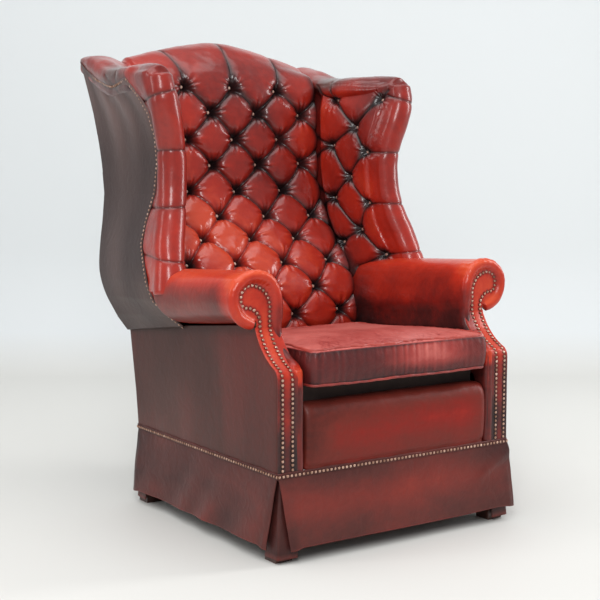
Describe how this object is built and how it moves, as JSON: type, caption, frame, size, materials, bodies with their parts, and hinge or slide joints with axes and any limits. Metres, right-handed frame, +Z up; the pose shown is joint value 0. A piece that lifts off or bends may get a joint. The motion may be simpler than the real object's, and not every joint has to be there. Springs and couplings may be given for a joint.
{
  "type": "wing armchair",
  "caption": "High-backed wing armchair in oxblood leather with deep-buttoned back and wings, rolled arms, nailed trim, a loose seat cushion and a leather skirt.",
  "frame": {"origin": "on the floor under the middle of the chair's width and depth", "axes": "+Z up; the chair faces -Y; +X is the right-hand side seen from in front"},
  "size_m": [0.804, 0.9042, 1.1824],
  "materials": {
    "buttoned_leather": "hand-rubbed glossy oxblood hide, dark in the creases",
    "button_leather": "small covered buttons, worn bright",
    "outside_leather": "darker, duller oxblood hide",
    "skirt_leather": "hanging oxblood hide, softly creased",
    "cushion_leather": "wine-red hide, worn dull on the seat",
    "piping_leather": "rolled hide cord, rubbed brighter",
    "brass_nails": "antique dome-headed nails, cream-brass",
    "stained_wood": "dark stained, satin",
    "frame_hardwood": "sawn, unfinished",
    "jute_webbing": "woven jute straps",
    "deck_cloth": "dull red lining cloth over stuffing",
    "feather_filling": "soft off-white filling",
    "black_lining": "thin black lining cloth"
  },
  "bodies": {
    "chair": {"back_buttons": "button_leather", "back_rail": "frame_hardwood", "back_webbing": "jute_webbing", "corner_blocks": "frame_hardwood", "corner_pleats": "skirt_leather", "crest_rail": "frame_hardwood", "dust_cover": "black_lining", "front_apron_pad": "buttoned_leather", "front_rail": "frame_hardwood", "front_skirt": "skirt_leather", "inside_back_pad": "buttoned_leather", "left_arm_facing": "buttoned_leather", "left_arm_pad": "buttoned_leather", "left_arm_rail": "frame_hardwood", "left_facing_nails": "brass_nails", "left_front_foot": "stained_wood", "left_front_post": "frame_hardwood", "left_outside_arm": "outside_leather", "left_outside_wing": "outside_leather", "left_rear_foot": "stained_wood", "left_rear_post": "frame_hardwood", "left_scroll_board": "frame_hardwood", "left_side_rail": "frame_hardwood", "left_side_skirt": "skirt_leather", "left_wing_board": "frame_hardwood", "left_wing_buttons": "button_leather", "left_wing_nails": "brass_nails", "left_wing_pad": "buttoned_leather", "outside_back": "outside_leather", "rear_skirt": "skirt_leather", "right_arm_facing": "buttoned_leather", "right_arm_pad": "buttoned_leather", "right_arm_rail": "frame_hardwood", "right_facing_nails": "brass_nails", "right_front_foot": "stained_wood", "right_front_post": "frame_hardwood", "right_outside_arm": "outside_leather", "right_outside_wing": "outside_leather", "right_rear_foot": "stained_wood", "right_rear_post": "frame_hardwood", "right_scroll_board": "frame_hardwood", "right_side_rail": "frame_hardwood", "right_side_skirt": "skirt_leather", "right_wing_board": "frame_hardwood", "right_wing_buttons": "button_leather", "right_wing_nails": "brass_nails", "right_wing_pad": "buttoned_leather", "seat_deck": "deck_cloth", "seat_webbing": "jute_webbing", "skirt_band": "skirt_leather", "skirt_nails": "brass_nails"},
    "seat_cushion": {"seat_cushion_cover": "cushion_leather", "seat_cushion_filling": "feather_filling", "seat_cushion_piping": "piping_leather"}
  },
  "joints": [
    {"name": "seat_cushion_lift", "type": "slide", "parent": "chair", "child": "seat_cushion", "axis": [0, 0, 1], "range_m": [0, 0.3]}
  ]
}
